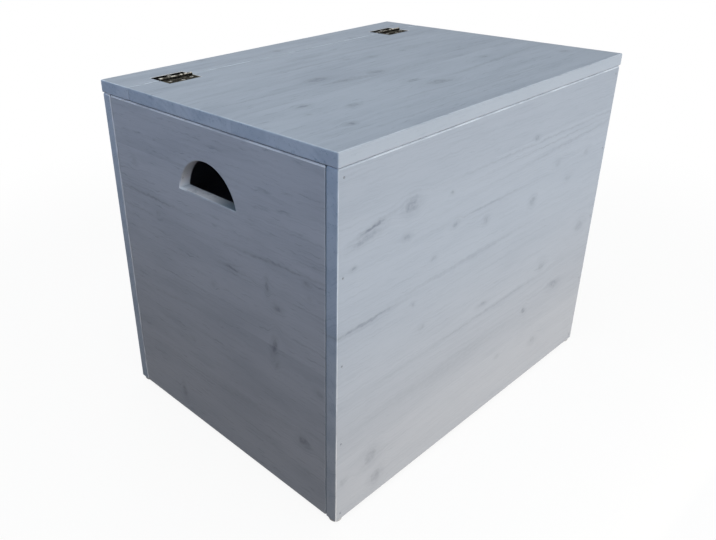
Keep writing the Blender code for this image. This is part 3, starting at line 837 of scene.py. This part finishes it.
def turned_tree(name, sizes, outline, crossed=False):
    """Turned parts of one kind, one at each point of the base mesh, with their tops at the point.

    outline gives (radius, height) pairs from the top down, made from the tree's named sizes.
    The base mesh's "lean" turns each part about X, and a fixed seed spins it about its own axis.
    """
    inputs = {"Places": "Geometry", **sizes, "Sides": SCREW_SIDES, "Seed": 5, "Finish": "Material"}
    w, given, returned = new_tree(name, "GeometryNodeTree", inputs, {"Parts": "Geometry"})
    join = w.add("GeometryNodeJoinGeometry")

    def add_at(height, shape):
        sockets = {"Geometry": shape, "Translation": w.joined(0.0, 0.0, height)}
        w.feed(join.inputs[0], w.add("GeometryNodeTransform", sockets))

    sides = {"Vertices": given["Sides"]}
    points = outline(w, given)
    for (upper, top), (lower, bottom) in zip(points, points[1:]):
        cone = {"Radius Top": upper, "Radius Bottom": lower, "Depth": w.minus(top, bottom)}
        add_at(bottom, w.add("GeometryNodeMeshCone", {**sides, **cone}, fill_type="NONE"))
    for radius, height in (points[0], points[-1]):
        if radius != 0.0:
            cap = {**sides, "Radius": radius}
            add_at(height, w.add("GeometryNodeMeshCircle", cap, fill_type="NGON"))
    part = w.add("GeometryNodeMergeByDistance", {"Geometry": join, "Distance": 1e-6})
    if crossed:
        settings = {"operation": "DIFFERENCE", "solver": "EXACT"}
        part = w.add("GeometryNodeMeshBoolean", {"Mesh 1": part}, **settings)
        deep = w.times(given["Recess depth"], 2.0)
        span, width = given["Recess span"], given["Recess width"]
        for size in (w.joined(span, width, deep), w.joined(width, span, deep)):
            w.feed(part.inputs["Mesh 2"], w.add("GeometryNodeMeshCube", {"Size": size}))
    lean = w.add("GeometryNodeInputNamedAttribute", {"Name": "lean"}, data_type="FLOAT")
    spin = w.add("FunctionNodeRandomValue", {"Seed": given["Seed"]}, data_type="FLOAT")
    for socket in spin.inputs:
        if socket.identifier == "Max_001":
            socket.default_value = math.pi / 2
    spun = w.times(spin.outputs[1], w.math("COMPARE", lean, 0.0, 0.001))
    turn = w.add("FunctionNodeEulerToRotation", {0: w.joined(lean, 0.0, spun)})
    sockets = {"Points": given["Places"], "Instance": part, "Rotation": turn}
    spread = w.add("GeometryNodeInstanceOnPoints", sockets)
    real = w.add("GeometryNodeRealizeInstances", {"Geometry": spread})
    return return_finished(w, given, returned["Parts"], real)


def nail_outline(w, given):
    """A nail from its slightly domed head to its point."""
    head, depth, shank, point, length = list(given.values())[1:6]
    under, tip = w.times(depth, -1.0), w.times(length, -1.0)
    return [
        (w.times(head, 0.62), 0.0),
        (w.times(head, 0.92), w.times(under, 0.10)),
        (head, w.times(under, 0.30)),
        (head, under),
        (shank, w.times(under, 1.05)),
        (shank, w.plus(tip, point)),
        (0.0, tip),
    ]


def screw_outline(w, given):
    """A countersunk screw with an eased rim."""
    head, shank, point, ease, length = list(given.values())[1:6]
    tip = w.times(length, -1.0)
    return [
        (w.minus(head, ease), 0.0),
        (head, w.times(ease, -0.6)),
        (shank, w.minus(shank, head)),
        (shank, w.plus(tip, point)),
        (0.0, tip),
    ]


def glide_outline(w, given):
    """A moulded glide, from the top of its peg down to the rounded sole."""
    radius, height, round_width, round_height, peg, peg_length = list(given.values())[1:7]
    shoulder = w.times(peg_length, -1.0)
    sole = w.plus(w.times(height, -1.0), shoulder)
    rows = [
        (w.minus(peg, PEG_EASE), 0.0),
        (peg, -PEG_EASE),
        (peg, shoulder),
        (w.minus(radius, GLIDE_EASE), w.minus(shoulder, GLIDE_DROP)),
        (radius, w.minus(shoulder, GLIDE_EASE)),
    ]
    for degrees in (0, 22.5, 45, 67.5, 90):
        angle = math.radians(degrees)
        inset = w.times(round_width, 1 - math.cos(angle))
        lift = w.times(round_height, 1 - math.sin(angle))
        rows.append((w.minus(radius, inset), w.plus(sole, lift)))
    return rows


def dowel_outline(w, given):
    """A dowel with chamfered ends."""
    radius, chamfer, length = list(given.values())[1:4]
    neck, end = w.minus(radius, chamfer), w.times(length, -1.0)
    return [(neck, 0.0), (radius, w.times(chamfer, -1.0)), (radius, w.plus(end, chamfer)), (neck, end)]


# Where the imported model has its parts


def middle_of(node):
    low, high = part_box(node)
    return (low + high) / 2


def top_of(node):
    return Vector((*middle_of(node).xy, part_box(node)[1].z))


def length_of(node, axis):
    low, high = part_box(node)
    return high[axis] - low[axis]


def nail_spot(node, wall):
    spot = middle_of(node)
    spot.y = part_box(node)[0 if wall == "front" else 1].y
    return spot


def nail_nodes(wall):
    return [f"nail_{wall}_{side}_{number}" for side in SIDES for number in range(1, 6)]


def screw_nodes(board):
    return [f"{board}_screw_{side}_{number}" for side in SIDES for number in (1, 2, 3)]


def glide_nodes(wall):
    return [f"glide_{wall}_{side}" for side in SIDES]


# Cutters


def nail_holes(wall):
    """Holes for one wall's nails, through it and into the side panels."""
    bm = bmesh.new()
    head, shank = NAIL["Head radius"] + NAIL_GAP, NAIL["Shank radius"] + FIT
    under = -NAIL["Head depth"] - FIT
    for node in nail_nodes(wall):
        end = -length_of(node, 1) - FIT
        profile = [(0, end), (shank, end + NAIL["Point"]), (shank, under), (head, under)]
        profile += [(head, OVERCUT), (0, OVERCUT)]
        lean = Matrix.Rotation(NAIL_LEANS[wall], 4, "X")
        add_turned(bm, profile, HEAD_HOLE_SIDES, Matrix.Translation(nail_spot(node, wall)) @ lean)
    return bm


def upright_holes(nodes, radius, above=FIT, bottom=None):
    """Holes for upright parts, from under them or a bottom to a height above their tops."""
    bm = bmesh.new()
    wide = radius + FIT
    for node in nodes:
        low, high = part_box(node)
        start = low.z - FIT if bottom is None else bottom
        end = high.z + above
        middle = middle_of(node)
        place = Matrix.Translation((middle.x, middle.y, 0))
        add_turned(bm, [(0, start), (wide, start), (wide, end), (0, end)], HOLE_SIDES, place)
    return bm


def peg_holes(wall):
    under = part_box(f"{wall}_panel")[0].z
    return upright_holes(glide_nodes(wall), PEG["Peg radius"], bottom=under - OVERCUT)


def pilot_holes(board):
    return upright_holes(screw_nodes(board), SCREW["Shank radius"], above=-LEAF_THICKNESS)


def mortises():
    """The flat recesses that the hinges lie in, with a small chamfer round the top."""
    bm = bmesh.new()
    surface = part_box("lid")[1].z
    spread = MORTISE_CHAMFER + OVERCUT
    for side in SIDES:
        rail_low, rail_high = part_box(f"rail_leaf_{side}")
        left, right = rail_low.x - FIT, rail_high.x + FIT
        near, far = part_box(f"lid_leaf_{side}")[0].y - FIT, rail_high.y + FIT
        wide = (left - spread, right + spread, near - spread, far + spread)
        floor = rectangle(left, right, near, far, rail_low.z - FIT)
        rim = rectangle(left, right, near, far, surface - MORTISE_CHAMFER)
        add_stacked(bm, [floor, rim, rectangle(*wide, surface + OVERCUT)])
    return bm


# Pieces


def dress(piece, nodes, body):
    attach(piece, body)
    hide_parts(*nodes)
    return piece


def turned_parts(name, tree, nodes, body, finish, sides=SCREW_SIDES, places=None, leans=None):
    """A row of turned parts that stands for its CAD nodes on one body."""
    spots = bpy.data.meshes.new(name)
    spots.from_pydata([tuple(place) for place in places or map(top_of, nodes)], [], [])
    lean = spots.attributes.new("lean", "FLOAT", "POINT")
    lean.data.foreach_set("value", leans or [0.0] * len(nodes))
    piece = grow(name, tree, spots, finish=finish, sides=sides)
    bm = bmesh.new()
    bm.from_mesh(piece.data)
    turn_outward(bm, piece.data)
    piece.data.shade_smooth()
    piece.data.set_sharp_from_angle(angle=CORNER)
    return dress(piece, nodes, body)


def make_board(node, body, finish, cutters=(), top_arris=ARRIS):
    low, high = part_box(node)
    base = bpy.data.meshes.new(node)
    sizes = {"low": low, "high": high, "top_arris": top_arris}
    piece = grow(f"{node}_washed", ROUNDED_BOARD_TREE, base, finish=finish, **sizes)
    if cutters:
        cut_all(piece, cutters)
    even_shading(piece)
    return dress(piece, [node], body)


def hand_hole_outline(x, top):
    """A circle closed by a flat sill above its centre, in the plane at x."""
    centre = top - HAND_TOP_MARGIN - HAND_RADIUS
    start = math.asin(HAND_SILL_RISE / HAND_RADIUS)
    sweep = math.pi - 2 * start
    angles = [start + sweep * step / HAND_ARC_STEPS for step in range(HAND_ARC_STEPS + 1)]
    return [(x, HAND_RADIUS * math.cos(a), centre + HAND_RADIUS * math.sin(a)) for a in angles]


def weigh_arrises(mesh, low, high):
    """Round a side panel's ends and top widely, and its foot and the hand hole's rims less."""
    bm = bmesh.new()
    bm.from_mesh(mesh)
    weights = bm.edges.layers.float.new("bevel_weight_edge")
    for edge in bm.edges:
        if edge.calc_face_angle(0.0) < CORNER:
            continue
        ys, zs = ([vert.co[axis] for vert in edge.verts] for axis in (1, 2))
        ends = any(all(abs(y - end) < FIT for y in ys) for end in (low.y, high.y))
        worn = ends or min(zs) > high.z - FIT
        edge[weights] = 1.0 if worn else ARRIS / WORN_ARRIS
    bm.to_mesh(mesh)
    bm.free()


def make_side_panel(side, finish):
    """A side panel with its hand hole, whose rims are rounded as all the arrises are."""
    node = f"{side}_side_panel"
    low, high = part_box(node)
    outer, inner = (low.x, high.x) if side == "left" else (high.x, low.x)
    corners = ((low.y, low.z), (high.y, low.z), (high.y, high.z), (low.y, high.z))
    bm = bmesh.new()
    edges = []
    for loop in ([(outer, y, z) for y, z in corners], hand_hole_outline(outer, high.z)):
        verts = [bm.verts.new(point) for point in loop]
        edges += [bm.edges.new(pair) for pair in zip(verts, verts[1:] + verts[:1])]
    filled = bmesh.ops.triangle_fill(bm, edges=edges, use_beauty=True, use_dissolve=False)
    faces = [item for item in filled["geom"] if isinstance(item, bmesh.types.BMFace)]
    pulled = bmesh.ops.extrude_face_region(bm, geom=faces)
    moved = [item for item in pulled["geom"] if isinstance(item, bmesh.types.BMVert)]
    bmesh.ops.translate(bm, vec=(inner - outer, 0, 0), verts=moved)
    piece = new_piece(f"{node}_washed", mesh_from(bm, node))
    piece.data.materials.append(finish)
    weigh_arrises(piece.data, low, high)
    settings = {"width": WORN_ARRIS, "segments": 2 * ARRIS_STEPS, "limit_method": "WEIGHT"}
    add_modifier(piece, "arris", "BEVEL", **settings)
    settle(piece)
    dowel_hole = upright_holes([f"dowel_{side}"], DOWEL["Radius"])
    cut_all(piece, [nail_holes("front"), nail_holes("back"), dowel_hole])
    even_shading(piece)
    return dress(piece, [node], "chest")


def leaf_section(x, towards, seam, axis_z, reach):
    """A leaf's section in the plane at x: a plate that ends in a roll round the pin."""
    bore = KNUCKLE_RADIUS - LEAF_THICKNESS
    angles = [-math.pi / 2 - KNUCKLE_WRAP * step / KNUCKLE_STEPS for step in range(KNUCKLE_STEPS + 1)]
    outer = [(KNUCKLE_RADIUS * math.cos(a), KNUCKLE_RADIUS * math.sin(a)) for a in angles]
    inner = [(bore * math.cos(a), bore * math.sin(a)) for a in reversed(angles)]
    plate = [(reach, -bore), (reach, -KNUCKLE_RADIUS)]
    return [(x, seam + towards * y, axis_z + z) for y, z in outer + inner + plate]


def knuckle_gaps(first, start, end, pin):
    """Room for the other leaf's knuckles, every second one from the first."""
    bm = bmesh.new()
    pitch = (end - start) / KNUCKLES
    room = KNUCKLE_RADIUS + FIT
    for knuckle in range(first, KNUCKLES, 2):
        left = start + pitch * knuckle - FIT / 2 - (OVERCUT if knuckle == 0 else 0)
        right = start + pitch * (knuckle + 1) + FIT / 2 + (OVERCUT if knuckle == KNUCKLES - 1 else 0)
        sides = (left, right, pin.y - room, pin.y + room)
        heights = (pin.z - room - OVERCUT, pin.z + room + OVERCUT)
        add_stacked(bm, [rectangle(*sides, z) for z in heights])
    return bm


def screw_sinks(board, side, surface):
    """Countersunk holes through a leaf."""
    bm = bmesh.new()
    head, shank = SCREW["Head radius"] + FIT, SCREW["Shank radius"] + FIT
    neck = SCREW["Shank radius"] - SCREW["Head radius"]
    below = -LEAF_THICKNESS - OVERCUT
    profile = [(0, below), (shank, below), (shank, neck), (head, 0), (head, OVERCUT), (0, OVERCUT)]
    for number in (1, 2, 3):
        spot = middle_of(f"{board}_screw_{side}_{number}")
        add_turned(bm, profile, HEAD_HOLE_SIDES, Matrix.Translation((spot.x, spot.y, surface)))
    return bm


def make_leaf(board, side, finish):
    """One hinge leaf: rolled knuckles, countersunk screw holes and eased edges."""
    node = f"{board}_leaf_{side}"
    low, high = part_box(node)
    pin = middle_of(f"hinge_pin_{side}")
    towards = 1 if board == "rail" else -1
    reach = max(high.y - pin.y, pin.y - low.y)
    start, end = (corner.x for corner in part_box(f"hinge_pin_{side}"))
    bm = bmesh.new()
    add_stacked(bm, [leaf_section(x, towards, pin.y, pin.z, reach) for x in (start, end)])
    piece = new_piece(f"{node}_dark", mesh_from(bm, node))
    piece.data.materials.append(finish)
    gaps = knuckle_gaps(1 if board == "rail" else 0, start, end, pin)
    cut_all(piece, [gaps, screw_sinks(board, side, pin.z - (KNUCKLE_RADIUS - LEAF_THICKNESS))])
    settings = {"width": LEAF_EASE, "segments": 2, "limit_method": "ANGLE", "angle_limit": CORNER}
    add_modifier(piece, "eased edges", "BEVEL", **settings)
    settle(piece)
    even_shading(piece, 35)
    return dress(piece, [node], "chest" if board == "rail" else "lid")


# The studio


def mix_by_ray(w, lit, seen):
    """One shader for the light it throws, the other for rays that show it to the camera."""
    path = w.add("LightPath").outputs
    shown = w.most(path["Is Camera Ray"], path["Is Glossy Ray"])
    factor = w.most(shown, path["Is Transmission Ray"])
    return w.add("MixShader", {0: factor, 1: lit, 2: seen})


def make_world():
    world = bpy.data.worlds.new("soft studio")
    bpy.context.scene.world = world
    world.use_nodes = True
    w = Wiring(world.node_tree)
    w.tree.nodes.clear()
    lit = w.add("Background", {"Color": colour(SKY), "Strength": SKY_STRENGTH})
    white = w.add("Background", {"Color": colour(WHITE), "Strength": 1.0})
    w.add("OutputWorld", {"Surface": mix_by_ray(w, lit, white)})


def make_ground():
    """A pale floor that fades into the white round it and keeps the chest's shadow."""
    bm = bmesh.new()
    bmesh.ops.create_circle(bm, cap_ends=True, segments=GROUND_SIDES, radius=GROUND_RADIUS)
    ground = new_piece("ground", mesh_from(bm, "ground"))
    made, w = new_material("pale floor")
    w.tree.nodes.clear()
    place = w.add("TexCoord").outputs["Object"]
    away = w.ramp(w.vector("LENGTH", place), *GROUND_FADE)
    bounce = w.add("BsdfDiffuse", {"Color": colour(GROUND_BOUNCE)})
    shaded = w.add("BsdfDiffuse", {"Color": colour(GROUND_PAINT)})
    glow = w.add("Emission", {"Color": colour(WHITE), "Strength": GROUND_GLOW})
    near = w.add("AddShader", {0: shaded, 1: glow})
    far = w.add("Emission", {"Color": colour(WHITE), "Strength": 1.0})
    shown = w.add("MixShader", {0: away, 1: near, 2: far})
    w.add("OutputMaterial", {"Surface": mix_by_ray(w, bounce, shown)})
    ground.data.materials.append(made)


def make_lamp(name, spot, target, width, height, power, tint, spread):
    data = bpy.data.lights.new(name, "AREA")
    data.shape = "RECTANGLE"
    data.size, data.size_y = width, height
    data.energy = power
    data.color = tint
    data.spread = math.radians(spread)
    lamp = new_piece(name, data)
    lamp.visible_camera = False
    aim = (Vector(spot) - Vector(target)).to_track_quat("Z", "Y").to_matrix().to_4x4()
    lamp.matrix_world = Matrix.Translation(spot) @ aim


def make_camera():
    data = bpy.data.cameras.new("camera")
    data.sensor_width = 36.0
    data.lens = LENS
    data.shift_x, data.shift_y = LENS_SHIFT
    data.clip_start = 0.05
    camera = new_piece("camera", data)
    right, up = Vector(CAMERA_RIGHT).normalized(), Vector(CAMERA_UP).normalized()
    back = right.cross(up).normalized()
    turn = Matrix((right, back.cross(right), back)).transposed().to_4x4()
    camera.matrix_world = Matrix.Translation(CAMERA_PLACE) @ turn
    bpy.context.scene.camera = camera


bpy.context.scene.view_settings.view_transform = "Standard"
make_camera()
make_world()
make_ground()
for lamp in LAMPS:
    make_lamp(*lamp)

ROUNDED_BOARD_TREE = rounded_board_tree()

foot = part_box("front_panel")[0].z
hole_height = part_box("left_side_panel")[1].z - foot - HAND_TOP_MARGIN - HAND_RADIUS
upright = {"origin": (0, 0, foot)}
holed = {**upright, "wear_and_highlight": 0.75, "hole": (0.0, hole_height, 0.0)}
looks = {
    "front": (X, Z, FRONT_MARKS, 0.31, {**upright, "figure": 0.35, "wear_and_highlight": 0.65, "painted_light_height": 0.38}),
    "back": (X, Z, BACK_MARKS, 0.77, {**upright, "figure": 0.6, "wear_and_highlight": 0.8, "limit": -1.0}),
    "left": (BACK_TO_FRONT, Z, LEFT_MARKS, 0.15, {**holed, "figure": 1.2}),
    "right": (BACK_TO_FRONT, Z, RIGHT_MARKS, 0.63, {**holed, "figure": 1.1}),
    "lid": (X, Y, LID_MARKS, 0.42, {"figure": 1.1, "ring_width": 0.0085, "wear_and_highlight": 0.3}),
    "rail": (X, Y, RAIL_MARKS, 0.30, {"ring_width": 0.0070, "wear_and_highlight": 0.6}),
    "floor": (X, Y, FLOOR_MARKS, 0.21, {}),
    "cleat": (X, Y, PLAIN_MARKS, 0.55, {}),
    "short cleat": (BACK_TO_FRONT, X, PLAIN_MARKS, 0.37, {}),
}
finishes = {
    name: wash_material(f"{name} spruce", along, across, marks, seed, **wear)
    for name, (along, across, marks, seed, wear) in looks.items()
}
_, axis_y, axis_z = middle_of("hinge_pin_left")
leaf_top = axis_z - (KNUCKLE_RADIUS - LEAF_THICKNESS)
leaf_steel = burnished_material(
    "dark hinge steel", (0.007, 0.007, 0.008), (0.105, 0.096, 0.078), (0.50, 0.48, 0.43),
    leaf_top, axis_z + KNUCKLE_RADIUS, axis_y,
)
bright_steel = metal_material("bright steel", (0.16, 0.155, 0.145), (0.42, 0.41, 0.38), 0.24, 0.002)
nail_finish = speckled_material("washed nail", (0.20, 0.23, 0.285), (0.27, 0.31, 0.37), 0.5, 0.0012)
plastic = speckled_material("glide plastic", (0.44, 0.46, 0.48), (0.52, 0.54, 0.56), 0.42, 0.0015)
beech = speckled_material("beech", (0.50, 0.36, 0.22), (0.64, 0.48, 0.31), 0.6, 0.003)

dowels = [f"dowel{place}_{side}" for place in ("", "_back") for side in SIDES]
wall_holes = {wall: [nail_holes(wall), peg_holes(wall)] for wall in WALLS}
wall_holes["back"].append(upright_holes(dowels[2:], DOWEL["Radius"]))
for wall in WALLS:
    make_board(f"{wall}_panel", "chest", finishes[wall], wall_holes[wall], WORN_ARRIS)
for side in SIDES:
    make_side_panel(side, finishes[side])
make_board("bottom_panel", "chest", finishes["floor"])
for name in WALLS + SIDES:
    make_board(f"cleat_{name}", "chest", finishes["cleat" if name in WALLS else "short cleat"])
rail_holes = [mortises(), pilot_holes("rail"), upright_holes(dowels, DOWEL["Radius"])]
make_board("rear_rail", "chest", finishes["rail"], rail_holes)
make_board("lid", "lid", finishes["lid"], [mortises(), pilot_holes("lid")])
for side in SIDES:
    for board in ("rail", "lid"):
        make_leaf(board, side, leaf_steel)

nail_sizes = {**NAIL, "Length": length_of("nail_front_left_1", 1)}
nails = [(node, wall) for wall in WALLS for node in nail_nodes(wall)]
turned_parts(
    "nails", turned_tree("wire nails", nail_sizes, nail_outline), [node for node, _ in nails],
    "chest", nail_finish, NAIL_SIDES,
    [nail_spot(node, wall) for node, wall in nails], [NAIL_LEANS[wall] for _, wall in nails],
)
screw_sizes = {**SCREW, "Length": length_of("rail_screw_left_1", 2), **RECESS}
screw_tree = turned_tree("countersunk screws", screw_sizes, screw_outline, crossed=True)
for board, body in (("rail", "chest"), ("lid", "lid")):
    nodes = screw_nodes(board)
    turned_parts(f"{board}_screws", screw_tree, nodes, body, bright_steel)
glides = [node for wall in WALLS for node in glide_nodes(wall)]
glide_sizes = {**GLIDE, **PEG, "Peg length": length_of(glides[0], 2) - GLIDE["Height"]}
glide_tree = turned_tree("corner glides", glide_sizes, glide_outline)
turned_parts("glides", glide_tree, glides, "chest", plastic, GLIDE_SIDES)
dowel_tree = turned_tree("dowels", {**DOWEL, "Length": length_of("dowel_left", 2)}, dowel_outline)
turned_parts("dowels", dowel_tree, dowels, "chest", beech, DOWEL_SIDES)
for side in SIDES:
    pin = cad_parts[f"hinge_pin_{side}"]
    pin.data.materials.clear()
    pin.data.materials.append(bright_steel)
